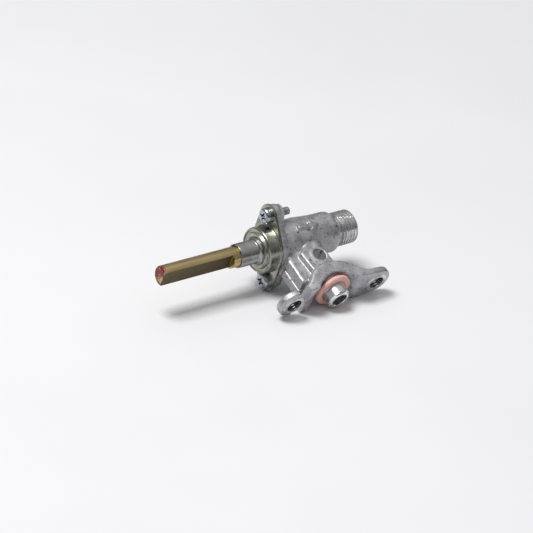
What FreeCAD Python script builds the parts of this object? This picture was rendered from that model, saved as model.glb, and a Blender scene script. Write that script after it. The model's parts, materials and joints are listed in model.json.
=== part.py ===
import FreeCAD, Part
import math
import os

from FreeCAD import Vector

# Gas valve: a die-cast tap that clamps to a half-inch manifold pipe.
# Frame: X runs along the stem axis towards the outlet. The origin is on that axis, where the
# outlet's first full thread begins. +Z runs along the line of the two cover screws.
# The inlet side (arm, saddle, spigot) is drawn with the spigot along -Y and the pipe along Z,
# and is then turned about X by INLET_TURN. In that frame, s is the distance towards the pipe.

# Inlet side
SPIGOT_X = -23.8            # station of the spigot axis along the stem axis
INLET_TURN = 30.0           # degrees about X, from -Y towards -Z
SADDLE_R = 12.3             # seat of the arch, for a half-inch pipe and its gasket
SADDLE_CROWN_S = 22.0       # distance of the saddle's seat from the stem axis
SADDLE_BACK_R = 14.0
SADDLE_BACK_S = 16.4
SADDLE_SHOULDER_R = 7.0     # hollow between the arch and an ear, behind
SADDLE_HALF_H = 7.0         # half the saddle's width along the pipe
EAR_FACE_S = 27.1
EAR_BACK_S = 24.0
EAR_HOLE_X = 19.6           # each side of the spigot axis
EAR_HOLE_R = 3.0            # M6
EAR_R = 6.2
EAR_BACK_ROUND = 1.1
EAR_FRONT_ROUND = 0.6
RELIEF_R = 8.4              # cone round the gasket that eases the edges of the seat
RELIEF_MOUTH_R = 12.4
RELIEF_DEPTH = 1.7
PAD_R = 4.4
PAD_H = 0.3
SPIGOT_R = 4.5
SPIGOT_ROOT_R = 4.75
SPIGOT_ROOT_S = 25.95
SPIGOT_END_S = 30.3
SPIGOT_CHAMFER = 0.7
INLET_BORE_R = 2.85
GASKET_R = 7.25
GASKET_T = 1.5
GASKET_BACK_S = 24.4        # the flat washer bridges the seat, resting on its two flanks

# Arm between the barrel and the saddle
ARM_R = 6.2
RAISED_Z = 6.2              # flat that carries the bypass screw
LOBE_Z = 3.9
BYPASS_X = -0.6             # from the spigot axis
BYPASS_S = 12.6
BYPASS_HOLE_R = 2.45
BYPASS_FLOOR_Z = 1.9
BYPASS_TOP_Z = 6.1
BYPASS_SCREW_R = 2.37

# Barrel and outlet
THREAD_R = 6.58             # G 1/4 outlet thread
THREAD_ROOT_R = 5.75
THREAD_PITCH = 1.337
THREAD_LAND = 0.34
THREAD_TURNS = 5
OUTLET_END = 0.6
OUTLET_BORE_R = 3.0
BARREL_R = 8.9

# Flange and cover
FLANGE_X = -37.8            # face of the casting that the cover plate lies on
FLANGE_T = 2.6
BODY_EAR_BACK = -33.4
BODY_EAR_R = 3.7
PLATE_T = 1.0
PLATE_R = 9.35
COVER_EAR_R = 4.35
SCREW_Z = 13.1
CUP_R = 8.85
CUP_WALL = 1.1
CUP_FRONT = -43.6
NECK_R = 4.62
NECK_FRONT = -53.5

# Stem
STEM_R = 4.0
STEM_TIP = -88.0
FLAT_OFFSET = 1.7           # from the axis to the flat
FLAT_END = -56.7
STEM_TIP_ROUND = 1.1
SHOULDER_X = -39.3
PILOT_R = 2.1
PILOT_END = -31.7
PIN_R = 0.9
PIN_X = -40.7
PIN_HALF = 5.8
PUSH_TRAVEL = 2.5

# Plug
PLUG_FRONT = -36.8
PLUG_BACK = -18.8
PLUG_FRONT_R = 6.35
PLUG_BACK_R = 4.95
RUNNING_GAP = 0.05
CROWN_FRONT = -41.5
CROWN_R = 6.1
CROWN_BORE_R = 4.5
POCKET_R = 4.25
POCKET_FLOOR = -28.4
PORT_R = 2.2

# Plug spring
SPRING_R = 3.35
SPRING_WIRE_R = 0.42
SPRING_TURNS = 5.5
WASHER_T = 0.6
WASHER_R = 3.95

# Cover screws: M3 pan heads with a cross recess
SCREW_R = 1.5
SCREW_PITCH = 0.5
SCREW_HEAD_R = 3.1
SCREW_HEAD_H = 2.3
SCREW_END = -29.2

X_AXIS = Vector(1, 0, 0)
Y_AXIS = Vector(0, 1, 0)
Z_AXIS = Vector(0, 0, 1)
ORIGIN = Vector(0, 0, 0)


def turned(outline):
    """Solid of revolution about X from (x, radius) points."""
    points = [Vector(x, r, 0) for x, r in outline]
    wire = Part.makePolygon(points + [points[0]])
    return Part.Face(wire).revolve(ORIGIN, X_AXIS, 360)


def disc(radius, x0, x1, y=0.0, z=0.0):
    """Cylinder along X between two stations."""
    return Part.makeCylinder(radius, x1 - x0, Vector(x0, y, z), X_AXIS)


def along_s(radius, s0, s1, x=0.0, z=0.0):
    """Cylinder along the spigot direction in the inlet frame."""
    base = Vector(SPIGOT_X + x, -s0, z)
    return Part.makeCylinder(radius, s1 - s0, base, Vector(0, -1, 0))


def along_z(radius, z0, z1, x=0.0, s=0.0):
    """Cylinder along the pipe direction in the inlet frame."""
    return Part.makeCylinder(radius, z1 - z0, Vector(SPIGOT_X + x, -s, z0), Z_AXIS)


def slab(outline, z0, z1):
    """Prism along Z from (x, s) points of the inlet frame."""
    points = [Vector(SPIGOT_X + x, -s, z0) for x, s in outline]
    wire = Part.makePolygon(points + [points[0]])
    return Part.Face(wire).extrude(Vector(0, 0, z1 - z0))


def fuse(shapes):
    """One clean solid from shapes that overlap."""
    return shapes[0].multiFuse(shapes[1:]).removeSplitter()


def round_edges(shape, radius, wanted):
    """Fillet the edges that wanted(edge) picks."""
    edges = [edge for edge in shape.Edges if wanted(edge)]
    return shape.makeFillet(radius, edges) if edges else shape


def edge_runs_along(direction, length):
    """Test for straight edges of some length along a direction."""
    def test(edge):
        if not isinstance(edge.Curve, Part.Line) or edge.Length < length:
            return False
        return abs(edge.Curve.Direction.dot(direction)) > 0.999
    return test


def circle_at(x, radius):
    """Test for the circular edge about X at a station, with a radius."""
    def test(edge):
        if not isinstance(edge.Curve, Part.Circle):
            return False
        same_place = abs(edge.Curve.Center.x - x) < 0.01
        return same_place and abs(edge.Curve.Radius - radius) < 0.01
    return test


def on_inlet_side(shape):
    """Turn a shape from the inlet frame into the valve's frame."""
    turned_shape = shape.copy()
    turned_shape.rotate(ORIGIN, X_AXIS, INLET_TURN)
    return turned_shape


def thread_grooves(crest_r, root_r, pitch, land, first, turns):
    """Rings of V-shaped grooves about X; cutting them leaves thread crests as wide as land."""
    grooves = []
    for turn in range(turns):
        start = first + turn * pitch + land
        stop = start + pitch - land
        middle = (start + stop) / 2
        outer = crest_r + 0.3
        slope = (middle - start) / (crest_r - root_r)
        spread = 0.3 * slope
        outline = [(start - spread, outer), (middle, root_r), (stop + spread, outer)]
        grooves.append(turned(outline))
    return grooves


def lobed_plate(x0, x1, centre_r, ear_r):
    """Round plate with an ear at each cover screw, its sides tangent to both rounds."""
    lean = math.asin((centre_r - ear_r) / SCREW_Z)
    corners = []
    for y_sign, z_sign in ((1, -1), (1, 1), (-1, 1), (-1, -1)):
        middle_y = y_sign * centre_r * math.cos(lean)
        middle_z = z_sign * centre_r * math.sin(lean)
        ear_y = y_sign * ear_r * math.cos(lean)
        ear_z = z_sign * (SCREW_Z + ear_r * math.sin(lean))
        pair = [Vector(x0, ear_y, ear_z), Vector(x0, middle_y, middle_z)]
        corners.extend(pair if y_sign * z_sign < 0 else pair[::-1])
    wire = Part.makePolygon(corners + [corners[0]])
    sides = Part.Face(wire).extrude(Vector(x1 - x0, 0, 0))
    rounds = [disc(centre_r, x0, x1)]
    rounds += [disc(ear_r, x0, x1, 0, z) for z in (-SCREW_Z, SCREW_Z)]
    return fuse([sides] + rounds)


def plug_radius(x, gap=0.0):
    """Radius of the plug's taper at a station, with a gap for the seat."""
    taper = (PLUG_FRONT_R - PLUG_BACK_R) / (PLUG_BACK - PLUG_FRONT)
    return PLUG_FRONT_R - (x - PLUG_FRONT) * taper + gap


def barrel():
    """Turned outside of the casting: flange round, barrel, shoulder and outlet."""
    thread_start = -THREAD_PITCH * THREAD_TURNS - THREAD_LAND
    outline = [
        (FLANGE_X, 0),
        (FLANGE_X, PLATE_R - 0.1),
        (FLANGE_X + FLANGE_T, PLATE_R - 0.1),
        (FLANGE_X + FLANGE_T, BARREL_R),
        (-24.8, BARREL_R - 0.15),
        (-20.0, 8.25),
        (-16.3, 7.95),
        (-10.2, 7.9),
        (-8.9, 7.1),
        (-8.2, 6.1),
        (-7.9, 5.6),
        (thread_start - 0.1, 5.6),
        (thread_start, THREAD_R),
        (0, THREAD_R),
        (OUTLET_END, THREAD_R - 0.65),
        (OUTLET_END, 0),
    ]
    body = turned(outline)
    body = round_edges(body, 0.9, circle_at(-10.2, 7.9))
    for groove in thread_grooves(THREAD_R, THREAD_ROOT_R, THREAD_PITCH, THREAD_LAND,
                                 thread_start, THREAD_TURNS):
        body = body.cut(groove)
    return body


def on_saddle_back(edge):
    """Is this edge part of the saddle's back outline?"""
    centre = edge.CenterOfMass
    at_side = abs(centre.z) > EAR_R / 2
    inner_arch = isinstance(edge.Curve, Part.Circle) and abs(edge.Curve.Radius - SADDLE_R) < 0.01
    return -centre.y < EAR_BACK_S + 0.2 and at_side and not inner_arch


def on_ear_front(edge):
    """Is this edge part of an ear's front outline?"""
    centre = edge.CenterOfMass
    at_side = abs(centre.z) > EAR_R / 2
    return abs(centre.y + EAR_FACE_S) < 0.01 and abs(centre.x - SPIGOT_X) > 10.5 and at_side


def saddle():
    """Arched clamp half with two ears, in the inlet frame."""
    back_centre = SADDLE_BACK_S + SADDLE_BACK_R
    ear_end = EAR_HOLE_X + EAR_R
    block = slab([(-ear_end, EAR_BACK_S), (ear_end, EAR_BACK_S), (ear_end, EAR_FACE_S),
                  (-ear_end, EAR_FACE_S)], -SADDLE_HALF_H, SADDLE_HALF_H)
    arch = along_z(SADDLE_BACK_R, -SADDLE_HALF_H, SADDLE_HALF_H, 0, back_centre)
    keep = slab([(-ear_end, 0), (ear_end, 0), (ear_end, EAR_FACE_S), (-ear_end, EAR_FACE_S)],
                -SADDLE_HALF_H, SADDLE_HALF_H)
    shape = fuse([block, arch.common(keep)])
    shape = round_edges(shape, SADDLE_SHOULDER_R, lambda edge: edge_runs_along(Z_AXIS, 5)(edge)
                        and abs(edge.CenterOfMass.y + EAR_BACK_S) < 0.1
                        and abs(edge.CenterOfMass.x - SPIGOT_X) < ear_end - 1)
    seat_centre = SADDLE_CROWN_S + SADDLE_R
    shape = shape.cut(along_z(SADDLE_R, -20, 20, 0, seat_centre))
    corners = [(-EAR_HOLE_X, EAR_R), (-11.0, SADDLE_HALF_H), (11.0, SADDLE_HALF_H), (EAR_HOLE_X, EAR_R)]
    corners += [(x, -z) for x, z in reversed(corners)]
    points = [Vector(SPIGOT_X + x, 0, z) for x, z in corners]
    middle = Part.Face(Part.makePolygon(points + [points[0]])).extrude(Vector(0, -40, 0))
    rounds = [along_s(EAR_R, 0, 40, x) for x in (-EAR_HOLE_X, EAR_HOLE_X)]
    shape = shape.common(fuse([middle] + rounds))
    shape = round_edges(shape, EAR_BACK_ROUND, on_saddle_back)
    shape = round_edges(shape, EAR_FRONT_ROUND, on_ear_front)
    relief_floor = Vector(SPIGOT_X, RELIEF_DEPTH - 0.01 - EAR_FACE_S, 0)
    relief = Part.makeCone(RELIEF_R, RELIEF_MOUTH_R, RELIEF_DEPTH, relief_floor, Vector(0, -1, 0))
    return shape.cut(relief)


def arm():
    """Gas channel arm, raised flat for the bypass screw, and the side lobe, in the inlet frame."""
    channel = along_s(ARM_R, 2.0, 20.0)
    raised = slab([(-1.6, 4.8), (-8.0, 9.8), (-7.2, 20.0), (4.2, 20.0), (3.4, 14.5), (0.9, 4.8)],
                  -5.6, RAISED_Z)
    raised = round_edges(raised, 0.8, lambda edge: abs(edge.CenterOfMass.z - RAISED_Z) < 0.01)
    lobe = slab([(-5.0, 7.4), (-11.2, 8.4), (-13.0, 10.2), (-13.0, 21.0), (-5.0, 21.0)], -5.0, LOBE_Z)
    lobe = round_edges(lobe, 1.2, lambda edge: abs(edge.CenterOfMass.z - LOBE_Z) < 0.01)
    rib = slab([(-13.7, 11.0), (-11.0, 10.0), (-11.0, 21.5), (-13.7, 21.5)], -4.2, -0.6)
    boss = along_z(BYPASS_HOLE_R + 1.3, 0, RAISED_Z + 0.2, BYPASS_X, BYPASS_S)
    return [channel, raised, lobe, rib, boss]


def spigot():
    """Machined inlet stub with its root, in the inlet frame."""
    stub = along_s(SPIGOT_R, 18.0, SPIGOT_END_S)
    ends = [edge for edge in stub.Edges
            if isinstance(edge.Curve, Part.Circle) and abs(edge.Curve.Center.y + SPIGOT_END_S) < 0.01]
    stub = stub.makeChamfer(SPIGOT_CHAMFER, ends)
    root = along_s(SPIGOT_ROOT_R, 18.0, SPIGOT_ROOT_S)
    return [stub, root]


def valve_body():
    """The aluminium casting with its machined seats, bores and holes."""
    inlet = [saddle()] + arm() + spigot()
    pads = [along_s(PAD_R, EAR_BACK_S + 1, EAR_FACE_S + PAD_H, x) for x in (-EAR_HOLE_X, EAR_HOLE_X)]
    flange = lobed_plate(FLANGE_X, FLANGE_X + FLANGE_T, PLATE_R - 0.1, COVER_EAR_R - 0.45)
    bosses = []
    for z in (-SCREW_Z, SCREW_Z):
        bosses.append(disc(BODY_EAR_R - 0.2, FLANGE_X, BODY_EAR_BACK, 0, z))
        web = Part.makeBox(BODY_EAR_BACK - FLANGE_X - 0.4, 4.4, 9.0, Vector(FLANGE_X, -2.2, 0))
        web.translate(Vector(0, 0, 6.0 if z > 0 else -15.0))
        keep = disc(SCREW_Z, FLANGE_X, BODY_EAR_BACK)
        bosses.append(web.common(keep))
    outside = fuse([barrel(), flange] + bosses + [on_inlet_side(shape) for shape in inlet + pads])

    taper_seat = turned([
        (FLANGE_X - 1, 0),
        (FLANGE_X - 1, plug_radius(FLANGE_X - 1, RUNNING_GAP)),
        (PLUG_BACK + 0.4, plug_radius(PLUG_BACK + 0.4, RUNNING_GAP)),
        (PLUG_BACK + 0.4, 4.2),
        (PLUG_BACK + 2.4, 4.2),
        (PLUG_BACK + 2.4, OUTLET_BORE_R),
        (-3.2, OUTLET_BORE_R),
        (OUTLET_END + 0.2, 4.9),
        (OUTLET_END + 0.2, 0),
    ])
    cuts = [taper_seat]
    cuts += [disc(SCREW_R + 0.04, FLANGE_X - 1, BODY_EAR_BACK + 1, 0, z) for z in (-SCREW_Z, SCREW_Z)]
    inlet_cuts = [along_s(INLET_BORE_R, 9.0, SPIGOT_END_S + 1)]
    inlet_cuts.append(along_s(INLET_BORE_R - 0.6, 2.0, 9.0))
    inlet_cuts += [along_s(EAR_HOLE_R, EAR_BACK_S - 4, EAR_FACE_S + 4, x) for x in (-EAR_HOLE_X, EAR_HOLE_X)]
    inlet_cuts.append(along_z(BYPASS_HOLE_R, BYPASS_FLOOR_Z, RAISED_Z + 2, BYPASS_X, BYPASS_S))
    inlet_cuts.append(along_z(1.1, 0, BYPASS_FLOOR_Z, BYPASS_X, BYPASS_S))
    inlet_cuts.append(along_s(0.8, 4.0, BYPASS_S - 1, BYPASS_X, BYPASS_FLOOR_Z + 1.0))
    cuts += [on_inlet_side(shape) for shape in inlet_cuts]
    return outside.cut(fuse(cuts[:1]).multiFuse(cuts[1:]))


def cover():
    """Pressed steel bonnet: plate with two ears, cup, and stepped front disc."""
    plate = lobed_plate(FLANGE_X - PLATE_T, FLANGE_X, PLATE_R, COVER_EAR_R)
    cup = turned([
        (FLANGE_X, 0),
        (FLANGE_X, CUP_R),
        (CUP_FRONT, CUP_R),
        (CUP_FRONT, 8.0),
        (CUP_FRONT + 0.4, 7.8),
        (CUP_FRONT + 0.4, 7.2),
        (CUP_FRONT, 7.0),
        (CUP_FRONT - 0.6, 6.8),
        (CUP_FRONT - 0.7, 6.1),
        (CUP_FRONT - 0.7, 0),
    ])
    cup = round_edges(cup, 0.8, circle_at(CUP_FRONT, CUP_R))
    shape = fuse([plate, cup])
    shape = round_edges(shape, 0.4, circle_at(FLANGE_X - PLATE_T, CUP_R))
    cavity = disc(CUP_R - CUP_WALL, CUP_FRONT + CUP_WALL, FLANGE_X + 1)
    mouth = disc(NECK_R, CUP_FRONT - 3, CUP_FRONT + 3)
    holes = [disc(SCREW_R + 0.2, FLANGE_X - 3, FLANGE_X + 3, 0, z) for z in (-SCREW_Z, SCREW_Z)]
    return shape.cut(fuse([cavity, mouth])).cut(holes[0]).cut(holes[1])


def cover_neck():
    """Steel tube that guides the stem, swaged into the cover with a collar in front."""
    collar = CUP_FRONT - 0.7
    outline = [
        (NECK_FRONT, STEM_R + 0.3),
        (NECK_FRONT, NECK_R - 0.15),
        (NECK_FRONT + 0.15, NECK_R),
        (collar - 1.5, NECK_R),
        (collar - 1.2, NECK_R + 0.12),
        (collar - 1.0, 5.1),
        (collar - 0.8, 5.45),
        (collar, 5.6),
        (collar, NECK_R),
        (CUP_FRONT + CUP_WALL, NECK_R),
        (CUP_FRONT + CUP_WALL, STEM_R + 0.08),
        (NECK_FRONT + 0.25, STEM_R + 0.08),
    ]
    return turned(outline)


def cross_recess(x, depth, z):
    """Cross-shaped driver recess cut into a head from a station along +X."""
    arms = []
    for angle in (0, 90):
        arm_box = Part.makeBox(depth, 0.75, 3.4, Vector(x, -0.375, -1.7))
        arm_box.rotate(ORIGIN, X_AXIS, angle + 20)
        arm_box.translate(Vector(0, 0, z))
        arms.append(arm_box)
    point = Part.makeCone(1.05, 0.4, depth + 0.3, Vector(x, 0, z), X_AXIS)
    return fuse(arms + [point])


def cover_screws():
    """Two pan-head machine screws; the ends of their threads stand out behind the casting."""
    seat = FLANGE_X - PLATE_T
    head = disc(SCREW_HEAD_R, seat - SCREW_HEAD_H, seat)
    head = round_edges(head, 1.1, circle_at(seat - SCREW_HEAD_H, SCREW_HEAD_R))
    shank = disc(SCREW_R, seat - 0.5, SCREW_END)
    ends = [edge for edge in shank.Edges if circle_at(SCREW_END, SCREW_R)(edge)]
    shank = shank.makeChamfer(0.3, ends)
    screw = fuse([head, shank])
    first = BODY_EAR_BACK - 1.2
    turns = int((SCREW_END - first - 0.3) / SCREW_PITCH)
    for groove in thread_grooves(SCREW_R, SCREW_R - 0.3, SCREW_PITCH, 0.1, first, turns):
        screw = screw.cut(groove)
    screw = screw.cut(cross_recess(seat - SCREW_HEAD_H, 1.3, 0))
    pair = []
    for z in (-SCREW_Z, SCREW_Z):
        copy = screw.copy()
        copy.translate(Vector(0, 0, z))
        pair.append(copy)
    return Part.makeCompound(pair)


def plug():
    """Tapered brass plug: crown with the pin slot, spring pocket, gas bore and ports."""
    body = turned([
        (PLUG_FRONT, 0),
        (PLUG_FRONT, PLUG_FRONT_R),
        (PLUG_BACK, PLUG_BACK_R),
        (PLUG_BACK, 0),
    ])
    crown = disc(CROWN_R, CROWN_FRONT, PLUG_FRONT + 0.5)
    body = fuse([body, crown])
    body = body.cut(disc(CROWN_BORE_R, CROWN_FRONT - 1, PLUG_FRONT))
    body = body.cut(disc(POCKET_R, PLUG_FRONT - 0.5, POCKET_FLOOR))
    body = body.cut(disc(PORT_R + 0.3, -27.0, PLUG_BACK + 1))
    slot_w = 2 * PIN_R + 0.2
    slot_depth = PIN_X + PUSH_TRAVEL + PIN_R + 0.4 - CROWN_FRONT
    slot = Part.makeBox(slot_depth + 1, 20, slot_w, Vector(CROWN_FRONT - 1, -10, -slot_w / 2))
    slot = on_inlet_side(slot)
    body = body.cut(slot)
    main_port = Part.makeCylinder(PORT_R, 10, Vector(SPIGOT_X, 0, 0), Y_AXIS)
    low_port = Part.makeCylinder(0.6, 10, Vector(SPIGOT_X, 0, 0), Vector(0, 0.5, -0.866))
    body = body.cut(on_inlet_side(main_port))
    return body.cut(on_inlet_side(low_port))


def plug_spring():
    """Compression spring between the stem's washer and the floor of the plug's pocket."""
    start = SHOULDER_X + WASHER_T + SPRING_WIRE_R + 0.02
    stop = POCKET_FLOOR - SPRING_WIRE_R - 0.02
    height = stop - start
    helix = Part.makeHelix(height / SPRING_TURNS, height, SPRING_R)
    section = Part.Wire(Part.makeCircle(SPRING_WIRE_R, Vector(SPRING_R, 0, 0), Y_AXIS))
    coil = Part.Wire(helix).makePipeShell([section], True, True)
    coil.rotate(ORIGIN, Y_AXIS, 90)
    coil.translate(Vector(start, 0, 0))
    return coil


def spring_washer():
    """Flat washer on the stem's pilot that the spring pushes on."""
    ring = disc(WASHER_R, SHOULDER_X, SHOULDER_X + WASHER_T)
    return ring.cut(disc(PILOT_R + 0.1, SHOULDER_X - 1, SHOULDER_X + 2))


def stem():
    """Brass spindle: D-shaped shaft for the knob, round bearing, and pilot inside the spring."""
    shaft = disc(STEM_R, STEM_TIP, SHOULDER_X)
    shaft = round_edges(shaft, STEM_TIP_ROUND, circle_at(STEM_TIP, STEM_R))
    cut_length = FLAT_END - STEM_TIP + 1
    flat = Part.makeBox(cut_length, 10, 20, Vector(STEM_TIP - 1, -10 - FLAT_OFFSET, -10))
    shaft = shaft.cut(on_inlet_side(flat))
    pilot = disc(PILOT_R, SHOULDER_X - 1, PILOT_END)
    body = fuse([shaft, pilot])
    hole = Part.makeCylinder(PIN_R, 20, Vector(PIN_X, -10, 0), Y_AXIS)
    return body.cut(on_inlet_side(hole))


def stem_pin():
    """Cross pin through the stem; its ends ride in the slot of the plug's crown."""
    pin = Part.makeCylinder(PIN_R, 2 * PIN_HALF, Vector(PIN_X, -PIN_HALF, 0), Y_AXIS)
    return on_inlet_side(pin)


def bypass_screw():
    """Slotted low-flame adjusting screw with an O-ring groove and a needle end."""
    top = BYPASS_TOP_Z
    head = along_z(BYPASS_SCREW_R, top - 1.5, top, BYPASS_X, BYPASS_S)
    neck = along_z(1.5, top - 2.6, top - 1.4, BYPASS_X, BYPASS_S)
    lower = along_z(BYPASS_SCREW_R - 0.2, BYPASS_FLOOR_Z + 0.15, top - 2.5, BYPASS_X, BYPASS_S)
    base = Vector(SPIGOT_X + BYPASS_X, -BYPASS_S, BYPASS_FLOOR_Z + 0.2)
    needle = Part.makeCone(0.75, 0.3, 2.0, base, Vector(0, 0, -1))
    screw = fuse([head, neck, lower, needle])
    corner = Vector(SPIGOT_X + BYPASS_X - 3, -BYPASS_S - 0.4, top - 0.9)
    slot = Part.makeBox(6, 0.8, 2, corner)
    slot.rotate(Vector(SPIGOT_X + BYPASS_X, -BYPASS_S, 0), Z_AXIS, 35)
    return on_inlet_side(screw.cut(slot))


def bypass_o_ring():
    """Rubber ring in the adjusting screw's groove."""
    middle = BYPASS_TOP_Z - 2.0
    centre = Vector(SPIGOT_X + BYPASS_X, -BYPASS_S, middle)
    ring = Part.makeTorus(1.95, 0.42, centre, Z_AXIS)
    return on_inlet_side(ring)


def inlet_gasket():
    """Flat rubber washer round the spigot's root; the pipe presses it into the saddle."""
    blank = along_s(GASKET_R, GASKET_BACK_S, GASKET_BACK_S + GASKET_T)
    rims = [edge for edge in blank.Edges if isinstance(edge.Curve, Part.Circle)]
    blank = blank.makeFillet(0.3, rims)
    return on_inlet_side(blank.cut(along_s(SPIGOT_ROOT_R + 0.1, 0, 50)))


NODES = {
    "valve_body": valve_body,
    "cover": cover,
    "cover_neck": cover_neck,
    "cover_screws": cover_screws,
    "plug": plug,
    "plug_spring": plug_spring,
    "spring_washer": spring_washer,
    "stem": stem,
    "stem_pin": stem_pin,
    "bypass_screw": bypass_screw,
    "bypass_o_ring": bypass_o_ring,
    "inlet_gasket": inlet_gasket,
}

os.makedirs("parts", exist_ok=True)
for name, make in NODES.items():
    shape = make()
    shape.exportStep("parts/" + name + ".step")
    print(name, "valid", shape.isValid(), "solids", len(shape.Solids), "volume", round(shape.Volume, 1))
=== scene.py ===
import bmesh
import bpy
import json
import math
from mathutils import Matrix, Vector, noise


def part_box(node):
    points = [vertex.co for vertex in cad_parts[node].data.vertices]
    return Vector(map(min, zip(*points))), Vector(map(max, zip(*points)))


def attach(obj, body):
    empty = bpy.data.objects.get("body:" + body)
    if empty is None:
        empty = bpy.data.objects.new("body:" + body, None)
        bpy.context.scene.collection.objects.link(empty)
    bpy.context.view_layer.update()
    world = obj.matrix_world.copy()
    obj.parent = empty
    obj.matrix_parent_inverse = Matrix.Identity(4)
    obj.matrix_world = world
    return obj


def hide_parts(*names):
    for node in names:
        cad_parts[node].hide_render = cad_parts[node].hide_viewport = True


# Gas valve on a pale floor. New pieces are shaped in millimetres and scaled to metres when
# they are put into the scene. The stem axis is X; the inlet side has its own directions.
MM = 0.001

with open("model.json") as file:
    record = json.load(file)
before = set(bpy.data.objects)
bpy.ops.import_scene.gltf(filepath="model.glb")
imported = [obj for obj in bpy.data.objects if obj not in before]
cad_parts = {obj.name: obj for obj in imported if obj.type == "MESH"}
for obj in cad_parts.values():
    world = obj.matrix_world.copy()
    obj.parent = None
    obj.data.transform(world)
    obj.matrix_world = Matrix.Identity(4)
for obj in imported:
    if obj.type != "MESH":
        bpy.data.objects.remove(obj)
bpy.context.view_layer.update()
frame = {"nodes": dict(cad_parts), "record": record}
mounts = {mount["name"]: mount for mount in frame["record"]["mounts"]}

# Directions and stations, from the frame
STEM_AXIS = Vector((1, 0, 0))
SPIGOT_AXIS = Vector(mounts["inlet_spigot"]["axis"])
PIPE_AXIS = SPIGOT_AXIS.cross(STEM_AXIS)
SPIGOT_X = mounts["inlet_spigot"]["pos_m"][0] / MM
EAR_X = mounts["saddle_hole_rear"]["pos_m"][0] / MM - SPIGOT_X
SIDES = ((-1, "front"), (1, "rear"))
STEM_TIP = mounts["knob_shaft"]["pos_m"][0] / MM
THREAD_CREST = mounts["outlet_thread"]["dims"]["r_mm"]
THREAD_LENGTH = mounts["outlet_thread"]["dims"]["length_mm"]
SPIGOT_R = mounts["inlet_spigot"]["dims"]["r_mm"]
EAR_HOLE_R = mounts["saddle_hole_rear"]["dims"]["r_mm"]
FLANGE_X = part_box("cover")[1].x / MM

# Sizes that only the looks need, in millimetres
THREAD_PITCH = 1.337
THREAD_ROOT = 5.72
THREAD_START = -8.05
OUTLET_END = 0.6
OUTLET_BORE_R = 3.0
SPIGOT_ROOT_R = 4.75
SPIGOT_ROOT_S = 25.95
SPIGOT_END_S = 30.3
SPIGOT_BORE_R = 2.85
SEAT_CROWN_S = 22.0
EAR_FACE_S = 27.1
EAR_BACK_S = 24.0
PAD_R = 4.4
PAD_H = 0.3
SADDLE_THREAD_PITCH = 1.0
SADDLE_THREAD_CREST = 2.5
GASKET_R = 7.25
GASKET_BACK_S = 24.4
GASKET_FRONT_S = 25.9
GASKET_RIM = 0.3
GASKET_LEAN = 0.55
FLAT_OFFSET = 1.7
FLAT_END = -56.9
BYPASS_X, BYPASS_S = -0.6, 12.6
BYPASS_BORE_R = 2.5
BYPASS_FLOOR_Z = 1.85

# Seat of the tapered plug and the step behind it, as (x, radius)
PLUG_SEAT = [(-38.8, 6.66), (-18.4, 5.08), (-18.4, 4.25), (-16.4, 4.25), (-16.4, 3.05), (-8.2, 3.05)]

# The cast skin: grid of the remesh, passes of smoothing, and the height of two sizes of lump
VOXEL = 0.2
SMOOTHING = 26
LUMPS = ((0.55, 0.05), (1.7, 0.025))


def at(x, s, z):
    """A place of the inlet side: x along the stem, s towards the pipe, z along the pipe."""
    return STEM_AXIS * (SPIGOT_X + x) + SPIGOT_AXIS * s + PIPE_AXIS * z


def axes(origin, x, y, z):
    """Matrix that places local X, Y and Z along three directions."""
    return Matrix.Translation(origin) @ Matrix((x, y, z)).transposed().to_4x4()


def inlet_frame(x=0.0):
    """Frame whose local Z points towards the pipe, from a station beside the spigot."""
    return axes(at(x, 0, 0), STEM_AXIS, -PIPE_AXIS, SPIGOT_AXIS)


def pipe_frame(x, s):
    """Frame whose local Z points along the pipe, from a place of the inlet side."""
    return axes(at(x, s, 0), STEM_AXIS, PIPE_AXIS.cross(STEM_AXIS), PIPE_AXIS)


# Frame whose local Z points along the stem axis, towards the outlet
BARREL = axes(Vector(), Vector((0, 1, 0)), Vector((0, 0, 1)), STEM_AXIS)


# ---- materials

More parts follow.
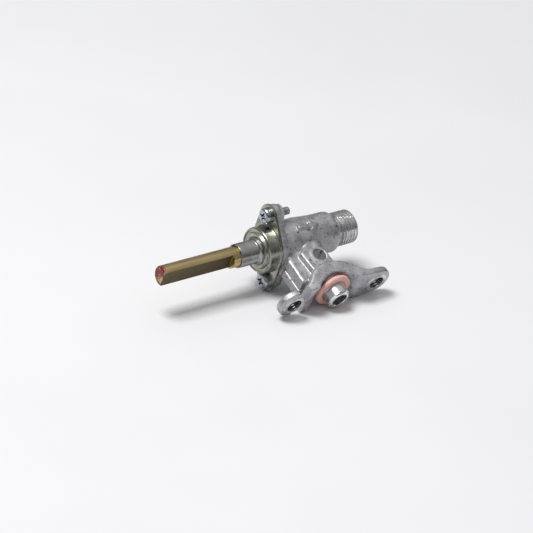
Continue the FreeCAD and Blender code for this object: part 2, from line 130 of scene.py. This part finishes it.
class Nodes:
    """Short names for building a node tree."""

    def __init__(self, name):
        self.material = bpy.data.materials.new(name)
        self.material.use_nodes = True
        self.tree = self.material.node_tree
        self.shader = self.tree.nodes["Principled BSDF"]
        self.place = self.add("ShaderNodeTexCoord").outputs["Object"]

    def add(self, kind, **values):
        node = self.tree.nodes.new(kind)
        for key, value in values.items():
            setattr(node, key, value)
        return node

    def link(self, source, target):
        self.tree.links.new(source, target)

    def put(self, target, value):
        """Links a socket, or sets a plain value."""
        if isinstance(value, bpy.types.NodeSocket):
            self.link(value, target)
        else:
            target.default_value = value

    def math(self, operation, a, b=0.0):
        node = self.add("ShaderNodeMath", operation=operation)
        for socket, value in zip(node.inputs, (a, b)):
            self.put(socket, value)
        return node.outputs[0]

    def noise(self, scale, detail, rough=0.55, stretch=(1, 1, 1)):
        mapping = self.add("ShaderNodeMapping")
        self.link(self.place, mapping.inputs["Vector"])
        mapping.inputs["Scale"].default_value = stretch
        node = self.add("ShaderNodeTexNoise")
        self.link(mapping.outputs[0], node.inputs["Vector"])
        node.inputs["Scale"].default_value = scale
        node.inputs["Detail"].default_value = detail
        node.inputs["Roughness"].default_value = rough
        return node.outputs["Fac"]

    def span(self, value, low, high, out_low=0.0, out_high=1.0):
        """Maps a range of values onto another, clamped."""
        node = self.add("ShaderNodeMapRange")
        self.link(value, node.inputs["Value"])
        ends = {"From Min": low, "From Max": high, "To Min": out_low, "To Max": out_high}
        for key, number in ends.items():
            node.inputs[key].default_value = number
        return node.outputs[0]

    def mix(self, factor, a, b):
        node = self.add("ShaderNodeMix", data_type="RGBA")
        self.put(node.inputs[0], factor)
        self.put(node.inputs[6], a)
        self.put(node.inputs[7], b)
        return node.outputs[2]

    def vector(self, operation, a, b=(0, 0, 0)):
        node = self.add("ShaderNodeVectorMath", operation=operation)
        self.link(a, node.inputs[0])
        node.inputs[1].default_value = b
        return node

    def dot(self, direction, origin=(0, 0, 0)):
        """Distance along a direction from a point given in metres."""
        away = self.vector("SUBTRACT", self.place, origin).outputs[0]
        return self.vector("DOT_PRODUCT", away, direction).outputs["Value"]

    def radial(self, direction, origin):
        """Distance from an axis through a point given in metres."""
        away = self.vector("SUBTRACT", self.place, origin).outputs[0]
        cross = self.vector("CROSS_PRODUCT", away, direction).outputs[0]
        return self.vector("LENGTH", cross).outputs["Value"]

    def bump(self, height, distance, strength, before=None):
        """Bump whose distance is in millimetres, on top of an earlier one."""
        node = self.add("ShaderNodeBump")
        self.link(height, node.inputs["Height"])
        node.inputs["Distance"].default_value = distance * MM
        node.inputs["Strength"].default_value = strength
        if before is not None:
            self.link(before, node.inputs["Normal"])
        return node.outputs[0]

    def finish(self, colour, roughness, normal=None, metallic=1.0, specular=0.5):
        """Plugs the results into the shader and gives back the material."""
        self.put(self.shader.inputs["Base Color"], colour)
        self.put(self.shader.inputs["Roughness"], roughness)
        self.shader.inputs["Metallic"].default_value = metallic
        self.shader.inputs["Specular IOR Level"].default_value = specular
        if normal is not None:
            self.link(normal, self.shader.inputs["Normal"])
        return self.material


def grey(value, tint=(1.0, 1.0, 1.0)):
    return (value * tint[0], value * tint[1], value * tint[2], 1.0)


TOOL_FEED = 0.32                        # spacing of the cutting tool's rings, in millimetres
# near-black painted shade for the inside of bores and threaded holes
BORE_SHADE = (0.012, 0.010, 0.008, 1)
LACQUER_RED = (0.17, 0.012, 0.012, 1)


def cast_aluminium():
    """Mottled die-cast skin with fine grain and small dark pits."""
    n = Nodes("cast_aluminium")
    cool = (1.0, 1.0, 1.03)
    patches = n.noise(260, 3.0)
    grain = n.noise(1500, 3.0, 0.6)
    spots = n.noise(900, 2.0, 0.5)
    colour = n.mix(n.span(patches, 0.35, 0.65), grey(0.36, cool), grey(0.53, cool))
    colour = n.mix(n.span(grain, 0.42, 0.62, 0.0, 0.5), colour, grey(0.68, cool))
    colour = n.mix(n.span(spots, 0.62, 0.70, 0.0, 0.8), colour, grey(0.08))
    roughness = n.span(patches, 0.3, 0.7, 0.42, 0.6)
    normal = n.bump(grain, 0.10, 0.5)
    normal = n.bump(patches, 0.25, 0.35, normal)
    return n.finish(colour, roughness, normal)


def machined_aluminium(name, axis, origin, bore):
    """Turned or milled aluminium with tool rings round an axis; painted shade darkens the bore's wall."""
    n = Nodes(name)
    per_metre = 2 * math.pi / (TOOL_FEED * MM)
    along = n.math("MULTIPLY", n.dot(axis, origin), per_metre)
    across = n.math("MULTIPLY", n.radial(axis, origin), per_metre)
    rings = n.math("ADD", n.math("SINE", along), n.math("SINE", across))
    wear = n.noise(420, 3.0)
    colour = n.mix(n.span(wear, 0.35, 0.7), grey(0.84), grey(0.60))
    # painted shade on the bore's wall, where the hole lies in shadow
    inside = n.span(n.radial(axis, origin), (bore - 0.1) * MM, (bore + 0.05) * MM, 0.93, 0.0)
    colour = n.mix(inside, colour, BORE_SHADE)
    roughness = n.span(wear, 0.3, 0.7, 0.16, 0.32)
    normal = n.bump(rings, 0.008, 0.3)
    return n.finish(colour, roughness, normal)


def zinc_plate(name, base, other, low, high):
    """Plated steel, clouded between two colours, with its roughness between low and high."""
    n = Nodes(name)
    clouds = n.noise(180, 3.0)
    specks = n.noise(1300, 2.0)
    colour = n.mix(n.span(clouds, 0.38, 0.62), base, other)
    colour = n.mix(n.span(specks, 0.55, 0.75, 0.0, 0.4), colour, grey(0.3))
    roughness = n.span(clouds, 0.3, 0.7, low, high)
    normal = n.bump(specks, 0.03, 0.4)
    normal = n.bump(clouds, 0.15, 0.3, normal)
    return n.finish(colour, roughness, normal)


def stem_brass():
    """Drawn brass with painted shade on the flat and ragged red lacquer on the tip."""
    n = Nodes("stem_brass")
    drawn = n.noise(1400, 3.0, 0.6, (0.03, 1, 1))
    stain = n.noise(240, 3.0)
    colour = n.mix(n.span(drawn, 0.3, 0.7), (0.44, 0.33, 0.15, 1), (0.64, 0.50, 0.27, 1))
    colour = n.mix(n.span(stain, 0.55, 0.75, 0.0, 0.5), colour, (0.32, 0.23, 0.10, 1))
    # painted shade on the flat, which faces away from the light: darker than the round side, and darker
    # still towards the collar
    flat = n.span(n.dot(SPIGOT_AXIS), (FLAT_OFFSET - 0.10) * MM, (FLAT_OFFSET - 0.02) * MM)
    shaft = n.span(n.dot(STEM_AXIS, (FLAT_END * MM, 0, 0)), 0.0, 0.1 * MM, 1.0, 0.0)
    flat = n.math("MULTIPLY", flat, shaft)
    depth = n.span(n.dot(STEM_AXIS), STEM_TIP * MM, FLAT_END * MM, 0.84, 0.98)
    colour = n.mix(n.math("MULTIPLY", flat, depth), colour, (0.055, 0.038, 0.006, 1))
    # red lacquer on the tip
    tip = n.dot(STEM_AXIS, (STEM_TIP * MM, 0, 0))
    ragged = n.math("MULTIPLY", n.noise(500, 2.0), 1.6 * MM)
    reach = n.math("SUBTRACT", n.math("ADD", ragged, 0.1 * MM), tip)
    red = n.span(reach, 0.0, 0.15 * MM)
    bare = n.span(n.noise(330, 2.0), 0.5, 0.56, 1.0, 0.15)
    red = n.math("MULTIPLY", red, bare)
    colour = n.mix(red, colour, LACQUER_RED)
    roughness = n.span(drawn, 0.3, 0.7, 0.24, 0.38)
    normal = n.bump(drawn, 0.03, 0.4)
    material = n.finish(colour, roughness, normal)
    n.link(n.math("SUBTRACT", 1.0, n.math("MULTIPLY", red, 0.9)), n.shader.inputs["Metallic"])
    return material


def plain_metal(name, base, low, high):
    """Bare metal with faint clouds, with its roughness between low and high."""
    n = Nodes(name)
    clouds = n.noise(300, 3.0)
    dark = tuple(channel * 0.75 for channel in base[:3]) + (1.0,)
    colour = n.mix(n.span(clouds, 0.35, 0.65), base, dark)
    return n.finish(colour, n.span(clouds, 0.3, 0.7, low, high), n.bump(clouds, 0.05, 0.4))


def rubber(name, base, pale, bloom):
    """Matt rubber clouded between two colours, with a dusty bloom."""
    n = Nodes(name)
    clouds = n.noise(220, 3.0)
    grain = n.noise(1600, 2.0)
    colour = n.mix(n.span(clouds, 0.35, 0.65), base, pale)
    colour = n.mix(n.span(grain, 0.5, 0.7, 0.0, bloom), colour, (0.86, 0.66, 0.62, 1))
    roughness = n.span(grain, 0.3, 0.7, 0.5, 0.68)
    return n.finish(colour, roughness, n.bump(grain, 0.04, 0.5), metallic=0.0, specular=0.4)


def floor_paint():
    """Pale matt paint."""
    n = Nodes("floor_paint")
    clouds = n.noise(9, 3.0)
    colour = n.mix(n.span(clouds, 0.35, 0.65), (0.80, 0.80, 0.815, 1), (0.82, 0.82, 0.835, 1))
    return n.finish(colour, n.span(clouds, 0.3, 0.7, 0.7, 0.8), metallic=0.0, specular=0.2)


CAST = cast_aluminium()
OUTLET_FINISH = machined_aluminium("machined_outlet", STEM_AXIS, (0, 0, 0), OUTLET_BORE_R)
SPIGOT_FINISH = machined_aluminium("machined_inlet", SPIGOT_AXIS, at(0, 0, 0) * MM, SPIGOT_BORE_R + 0.1)
EAR_FINISH = {}
for side, name in SIDES:
    centre = at(side * EAR_X, 0, 0) * MM
    EAR_FINISH[side] = machined_aluminium(f"machined_ear_{name}", SPIGOT_AXIS, centre, EAR_HOLE_R + 0.05)
ZINC_COVER = zinc_plate("zinc_cover", grey(0.24, (0.92, 1.04, 0.90)), grey(0.46, (1.03, 1.0, 0.86)),
                        0.2, 0.34)
NECK_STEEL = zinc_plate("neck_steel", grey(0.30, (1.0, 1.0, 0.95)), grey(0.42, (1.0, 1.0, 0.98)),
                        0.22, 0.34)
SCREW_ZINC = zinc_plate("screw_zinc", grey(0.34, (0.90, 0.99, 1.10)), grey(0.60, (0.95, 1.0, 1.06)),
                        0.15, 0.28)
BRASS = stem_brass()
PLUG_BRASS = plain_metal("plug_brass", (0.58, 0.43, 0.2, 1), 0.3, 0.45)
SPRING_STEEL = plain_metal("spring_steel", (0.30, 0.30, 0.31, 1), 0.25, 0.4)
BLACK_RUBBER = rubber("black_rubber", (0.02, 0.02, 0.02, 1), (0.035, 0.035, 0.035, 1), 0.05)
PINK_RUBBER = rubber("pink_rubber", (0.80, 0.42, 0.36, 1), (0.86, 0.52, 0.46, 1), 0.45)


# ---- mesh helpers

def add_object(name, mesh, material, body):
    """Puts a mesh drawn in millimetres into the scene, in metres, riding on a body."""
    mesh.transform(Matrix.Scale(MM, 4))
    mesh.materials.clear()
    mesh.materials.append(material)
    ob = in_scene(name, mesh)
    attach(ob, body)
    return ob


def in_scene(name, data):
    ob = bpy.data.objects.new(name, data)
    bpy.context.scene.collection.objects.link(ob)
    return ob


def as_mesh(name, bm, matrix=None):
    """Turns a bmesh into a mesh, moved by a matrix, and frees it."""
    mesh = bpy.data.meshes.new(name)
    bm.to_mesh(mesh)
    bm.free()
    if matrix is not None:
        mesh.transform(matrix)
    return mesh


def ring_of(bm, radius, height, steps):
    """Vertices of a level ring about local Z; the radius may depend on the share of a turn."""
    ring = []
    for step in range(steps):
        angle = 2 * math.pi * step / steps
        r = radius(step / steps) if callable(radius) else radius
        ring.append(bm.verts.new((r * math.cos(angle), r * math.sin(angle), height)))
    return ring


def bridge(bm, ring, after):
    """Faces between two rings with the same number of vertices."""
    count = len(ring)
    for i in range(count):
        j = (i + 1) % count
        bm.faces.new((ring[i], ring[j], after[j], after[i]))


def lathe_mesh(name, outline, matrix, steps=128):
    """Closed ring or solid turned about local Z from (radius, height) points."""
    bm = bmesh.new()
    rings = [ring_of(bm, radius, height, steps) for radius, height in outline]
    for ring, after in zip(rings, rings[1:] + rings[:1]):
        bridge(bm, ring, after)
    bmesh.ops.remove_doubles(bm, verts=bm.verts, dist=1e-5)
    bmesh.ops.recalc_face_normals(bm, faces=bm.faces)
    return as_mesh(name, bm, matrix)


def evaluated(mesh, *modifiers):
    """The mesh after a list of (kind, settings) modifiers."""
    ob = in_scene("work", mesh)
    for kind, settings in modifiers:
        modifier = ob.modifiers.new(kind, kind)
        for key, value in settings.items():
            setattr(modifier, key, value)
    graph = bpy.context.evaluated_depsgraph_get()
    made = bpy.data.meshes.new_from_object(ob.evaluated_get(graph))
    bpy.data.objects.remove(ob)
    return made


def combined(mesh, other, operation, solver="EXACT"):
    """The mesh after a boolean with another mesh."""
    tool = in_scene("tool", other)
    mesh = evaluated(mesh, ("BOOLEAN", {"operation": operation, "object": tool, "solver": solver}))
    bpy.data.objects.remove(tool)
    return mesh


def subtract(mesh, cutters, solver="EXACT"):
    """The mesh with the cutter meshes taken away."""
    for cutter in cutters:
        mesh = combined(mesh, cutter, "DIFFERENCE", solver)
    return mesh


def rod(radius, low, high, matrix, steps=96):
    """A cutter: closed cylinder along local Z."""
    return lathe_mesh("rod", [(0, low), (radius, low), (radius, high), (0, high)], matrix, steps)


def smooth_by_angle(ob, degrees):
    """Shades smooth, with edges sharper than the angle kept."""
    mesh = ob.data
    mesh.polygons.foreach_set("use_smooth", [True] * len(mesh.polygons))
    mesh.set_sharp_from_angle(angle=math.radians(degrees))


# ---- casting

def cad_mesh(node):
    """A node's mesh, welded, in millimetres."""
    mesh = frame["nodes"][node].data.copy()
    mesh.transform(Matrix.Scale(1 / MM, 4))
    bm = bmesh.new()
    bm.from_mesh(mesh)
    bmesh.ops.remove_doubles(bm, verts=bm.verts, dist=1e-4)
    return as_mesh(node, bm)


def joined(mesh, other):
    """Two meshes as one."""
    bm = bmesh.new()
    bm.from_mesh(mesh)
    bm.from_mesh(other)
    return as_mesh("joined", bm)


ARROW_TAIL, ARROW_NECK, ARROW_POINT = -5.2, 0.8, 5.0
ARROW_HALF_SHAFT, ARROW_HALF_HEAD = 0.75, 2.3
ARROW_SIDE = Vector((0, -0.573, 0.819))                 # side of the barrel that carries it


def flow_arrow():
    """Raised arrow on the barrel that shows which way the gas flows."""
    below = [(ARROW_TAIL, -ARROW_HALF_SHAFT), (ARROW_NECK, -ARROW_HALF_SHAFT),
             (ARROW_NECK, -ARROW_HALF_HEAD)]
    outline = below + [(ARROW_POINT, 0.0)] + [(along, -up) for along, up in reversed(below)]
    across = ARROW_SIDE.cross(STEM_AXIS)
    middle = STEM_AXIS * (SPIGOT_X + 0.6)
    bm = bmesh.new()
    low, high = ([bm.verts.new(middle + STEM_AXIS * along + across * up + ARROW_SIDE * depth)
                  for along, up in outline] for depth in (6.0, 12.0))
    bm.faces.new(low)
    bm.faces.new(high)
    bridge(bm, low, high)
    bmesh.ops.recalc_face_normals(bm, faces=bm.faces)
    skin = lathe_mesh("skin", [(0, -30), (10.1, -30), (8.8, -17), (0, -17)], BARREL)
    return combined(as_mesh("prism", bm), skin, "INTERSECT")


def casting():
    """The casting with rounded cast edges; its machined ends and pads are pieces of their own."""
    ears = [inlet_frame(side * EAR_X) for side, name in SIDES]
    outlet_end = rod(9.5, THREAD_START, OUTLET_END + 2, BARREL)
    spigot_end = rod(SPIGOT_R + 0.6, SEAT_CROWN_S + 0.2, SPIGOT_END_S + 2, inlet_frame())
    pads = [rod(PAD_R + 0.8, EAR_FACE_S, EAR_FACE_S + 2, ear) for ear in ears]
    mesh = subtract(cad_mesh("valve_body"), [outlet_end, spigot_end] + pads)
    mesh = joined(mesh, flow_arrow())
    mesh = evaluated(mesh, ("REMESH", {"mode": "VOXEL", "voxel_size": VOXEL}),
                     ("SMOOTH", {"factor": 0.5, "iterations": SMOOTHING}))
    # the normals are read first, since each read after a change would work them all out again
    normals = [vertex.normal.copy() for vertex in mesh.vertices]
    for vertex, normal in zip(mesh.vertices, normals):
        lump = sum(noise.noise(vertex.co * scale) * height for scale, height in LUMPS)
        vertex.co += normal * lump
    # machined holes and faces are cut after the smoothing, so their edges stay crisp
    holes = [rod(EAR_HOLE_R + 0.35, EAR_BACK_S - 3, EAR_FACE_S + 3, ear) for ear in ears]
    face = rod(30, FLANGE_X - 5, FLANGE_X, BARREL, 32)
    bypass = rod(BYPASS_BORE_R, BYPASS_FLOOR_Z, 9, pipe_frame(BYPASS_X, BYPASS_S), 64)
    seat = [(radius, x) for x, radius in PLUG_SEAT]
    seat = lathe_mesh("seat", [(0, seat[0][1])] + seat + [(0, seat[-1][1])], BARREL, 96)
    mesh = subtract(mesh, holes + [face, bypass, seat], "MANIFOLD")
    ob = add_object("casting", mesh, CAST, "valve")
    smooth_by_angle(ob, 50)
    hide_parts("valve_body")


# ---- machined ends

# Height of the thread's profile over its pitch; it overshoots 1, so the crests are flat
PROFILE_PEAK = 1.25
PROFILE_SLOPE = 2.9


def threaded_mesh(name, low, high, pitch, root, crest, limit, outline, matrix, steps, rows_per_pitch):
    """Helical thread about local Z, closed by an outline from its last ring to its first.

    The thread is an inside one where the crest is nearer the axis than the root.
    limit(height) is the radius that the metal may reach at the thread's ends.
    """
    within = min if crest > root else max

    def radius_at(height):
        def radius(turn):
            phase = (height / pitch - turn) % 1.0
            rise = min(1.0, max(0.0, PROFILE_PEAK - abs(phase - 0.5) * PROFILE_SLOPE))
            return within(root + (crest - root) * rise, limit(height))
        return radius

    bm = bmesh.new()
    rows = int((high - low) / pitch * rows_per_pitch)
    heights = [low + (high - low) * row / rows for row in range(rows + 1)]
    rings = [ring_of(bm, radius_at(height), height, steps) for height in heights]
    rings += [ring_of(bm, radius, height, steps) for radius, height in outline]
    for ring, after in zip(rings, rings[1:] + rings[:1]):
        bridge(bm, ring, after)
    bmesh.ops.recalc_face_normals(bm, faces=bm.faces)
    return as_mesh(name, bm, matrix)


def outlet():
    """Outlet with its G 1/4 thread as a helix, undercut, and bore with the entry cone."""
    def limit(height):
        lead = THREAD_CREST - max(0.0, height) * 1.1
        runout = THREAD_ROOT + (height + THREAD_LENGTH + 0.45) * 2.2
        return max(min(lead, runout), THREAD_ROOT - 0.1)
    low = THREAD_START - 0.3
    inner = [
        (5.05, OUTLET_END),
        (4.85, OUTLET_END - 0.15),
        (OUTLET_BORE_R, -3.2),
        (OUTLET_BORE_R, low),
    ]
    mesh = threaded_mesh("outlet", low, OUTLET_END, THREAD_PITCH, THREAD_ROOT, THREAD_CREST, limit,
                         inner, BARREL, 192, 20)
    ob = add_object("outlet", mesh, OUTLET_FINISH, "valve")
    smooth_by_angle(ob, 35)


def spigot():
    """Machined inlet stub with its root shoulder, chamfer and bore."""
    root = SEAT_CROWN_S - 0.6
    outline = [
        (SPIGOT_ROOT_R, root),
        (SPIGOT_ROOT_R, SPIGOT_ROOT_S - 0.1),
        (SPIGOT_ROOT_R - 0.1, SPIGOT_ROOT_S),
        (SPIGOT_R, SPIGOT_ROOT_S),
        (SPIGOT_R, SPIGOT_END_S - 0.75),
        (SPIGOT_R - 0.1, SPIGOT_END_S - 0.62),
        (SPIGOT_R - 0.68, SPIGOT_END_S - 0.06),
        (SPIGOT_R - 0.78, SPIGOT_END_S),
        (SPIGOT_BORE_R + 0.22, SPIGOT_END_S),
        (SPIGOT_BORE_R, SPIGOT_END_S - 0.25),
        (SPIGOT_BORE_R, root),
    ]
    ob = add_object("spigot", lathe_mesh("spigot", outline, inlet_frame()), SPIGOT_FINISH, "valve")
    smooth_by_angle(ob, 30)


def ear_insert(side, name):
    """Machined pad round an ear's hole, with the M6 thread as a helix."""
    low, high = EAR_BACK_S + 0.05, EAR_FACE_S + PAD_H
    skin = EAR_HOLE_R + 0.45

    def limit(height):
        mouth = max(0.0, height - (high - 0.55))
        back = max(0.0, low + 0.4 - height) * 1.2
        return SADDLE_THREAD_CREST + max(mouth, back)
    outer = [
        (PAD_R - 0.12, high),
        (PAD_R, high - 0.12),
        (PAD_R + 0.05, EAR_FACE_S - 0.25),
        (skin, EAR_FACE_S - 0.6),
        (skin, low),
    ]
    mesh = threaded_mesh("ear_pad_" + name, low, high, SADDLE_THREAD_PITCH, EAR_HOLE_R,
                         SADDLE_THREAD_CREST, limit, outer, inlet_frame(side * EAR_X), 72, 16)
    ob = add_object("ear_pad_" + name, mesh, EAR_FINISH[side], "valve")
    smooth_by_angle(ob, 35)


def gasket():
    """Flat rubber washer with hollowed rims; its upper edge leans back into the saddle."""
    hole = SPIGOT_ROOT_R + 0.1
    corners = ((GASKET_R, GASKET_BACK_S), (GASKET_R, GASKET_FRONT_S), (hole, GASKET_FRONT_S),
               (hole, GASKET_BACK_S))
    outline = []
    for quarter, (radius, height) in enumerate(corners):
        for step in range(4):
            angle = math.radians(180 + 90 * quarter - 30 * step)
            outline.append((radius + GASKET_RIM * math.cos(angle), height + GASKET_RIM * math.sin(angle)))
    mesh = lathe_mesh("gasket", outline, Matrix.Identity(4))
    for vertex in mesh.vertices:
        across, up = vertex.co.x / GASKET_R, -vertex.co.y / GASKET_R
        vertex.co.z -= GASKET_LEAN * max(0.0, 1 - across ** 2) * up
    mesh.transform(inlet_frame())
    ob = add_object("gasket", mesh, PINK_RUBBER, "valve")
    smooth_by_angle(ob, 40)
    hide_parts("inlet_gasket")


# ---- carried-over CAD nodes

def finish_node(node, material, bevel=0.0):
    """Gives a CAD node its procedural material and softens its sharp edges."""
    ob = frame["nodes"][node]
    ob.data.materials.clear()
    ob.data.materials.append(material)
    if bevel:
        weld = ob.modifiers.new("weld", "WELD")
        weld.merge_threshold = 0.002 * MM
        soften = ob.modifiers.new("soften", "BEVEL")
        soften.width = bevel * MM
        soften.segments = 2
        soften.limit_method = "ANGLE"
        soften.angle_limit = math.radians(40)


casting()
outlet()
spigot()
for side, name in SIDES:
    ear_insert(side, name)
gasket()
finish_node("cover", ZINC_COVER, 0.12)
finish_node("cover_neck", NECK_STEEL, 0.08)
finish_node("cover_screws", SCREW_ZINC)
finish_node("stem", BRASS, 0.12)
finish_node("plug", PLUG_BRASS)
finish_node("plug_spring", SPRING_STEEL)
finish_node("spring_washer", SPRING_STEEL)
finish_node("stem_pin", SPRING_STEEL)
finish_node("bypass_screw", SPRING_STEEL)
finish_node("bypass_o_ring", BLACK_RUBBER)


# ---- floor, light, camera

FLOOR_HALF = 1.6                                        # metres


def add_floor():
    """Pale floor that the cover's lower ear and the saddle's lower edge rest on."""
    cover = min((v.co for v in frame["nodes"]["cover"].data.vertices), key=lambda co: co.z)
    body_points = [v.co for v in frame["nodes"]["valve_body"].data.vertices if v.co.y < cover.y - 0.01]
    slope = max((cover.z - p.z) / (cover.y - p.y) for p in body_points)
    tilt = Matrix.Rotation(math.atan(slope), 4, "X")
    bm = bmesh.new()
    bmesh.ops.create_grid(bm, x_segments=8, y_segments=8, size=FLOOR_HALF)
    mesh = as_mesh("floor", bm, Matrix.Translation(cover) @ tilt)
    mesh.materials.append(floor_paint())
    floor = in_scene("floor", mesh)


SOFTBOX_PLACE = Vector((-0.50, 0.0, 1.25))
SOFTBOX_TARGET = Vector((-0.03, 0, 0))
SOFTBOX_SIZE = 0.5
SOFTBOX_WATTS = 13.4


def add_softbox():
    """Overhead softbox, on the side of the stem's tip."""
    light = bpy.data.lights.new("overhead", "AREA")
    light.shape = "SQUARE"
    light.size = SOFTBOX_SIZE
    light.energy = SOFTBOX_WATTS
    ob = in_scene("overhead", light)
    ob.location = SOFTBOX_PLACE
    ob.rotation_euler = (SOFTBOX_TARGET - SOFTBOX_PLACE).to_track_quat("-Z", "Y").to_euler()


def add_world():
    """Soft studio surround: bright above, dimmer towards the horizon."""
    world = bpy.data.worlds.new("studio")
    world.use_nodes = True
    bpy.context.scene.world = world
    tree = world.node_tree
    background = tree.nodes["Background"]
    coord = tree.nodes.new("ShaderNodeTexCoord")
    split = tree.nodes.new("ShaderNodeSeparateXYZ")
    ramp = tree.nodes.new("ShaderNodeValToRGB")
    tree.links.new(coord.outputs["Generated"], split.inputs[0])
    tree.links.new(split.outputs["Z"], ramp.inputs[0])
    tree.links.new(ramp.outputs[0], background.inputs["Color"])
    horizon, zenith = ramp.color_ramp.elements
    horizon.position, horizon.color = 0.0, (0.12, 0.12, 0.13, 1)
    zenith.position, zenith.color = 0.85, (1.0, 1.0, 1.0, 1)
    ramp.color_ramp.elements.new(0.35).color = (0.42, 0.42, 0.43, 1)
    background.inputs["Strength"].default_value = 0.60


VIEW = Vector((-0.574, -0.715, 0.399)).normalized()     # from the valve towards the camera
ROLL = math.radians(-15.35)                             # slope of the stem axis in the picture
DISTANCE = 1.25
LENS_MM, SENSOR_MM = 224.55, 36.0
CENTRE_RIGHT, CENTRE_UP = -11.84 * MM, -10.19 * MM      # picture centre from the arm's root


def add_camera():
    """Long lens, looking down at the valve from the stem's side."""
    along = (STEM_AXIS - VIEW * STEM_AXIS.dot(VIEW)).normalized()
    across = VIEW.cross(along)
    right = along * math.cos(ROLL) + across * math.sin(ROLL)
    up = across * math.cos(ROLL) - along * math.sin(ROLL)
    camera = bpy.data.cameras.new("camera")
    camera.sensor_width = SENSOR_MM
    camera.lens = LENS_MM
    camera.clip_start, camera.clip_end = 0.05, 20
    ob = in_scene("camera", camera)
    place = at(0, 0, 0) * MM + VIEW * DISTANCE + right * CENTRE_RIGHT + up * CENTRE_UP
    ob.matrix_world = axes(place, right, up, VIEW)
    bpy.context.scene.camera = ob


add_floor()
add_world()
add_softbox()
add_camera()
bpy.context.scene.view_settings.view_transform = "Standard"
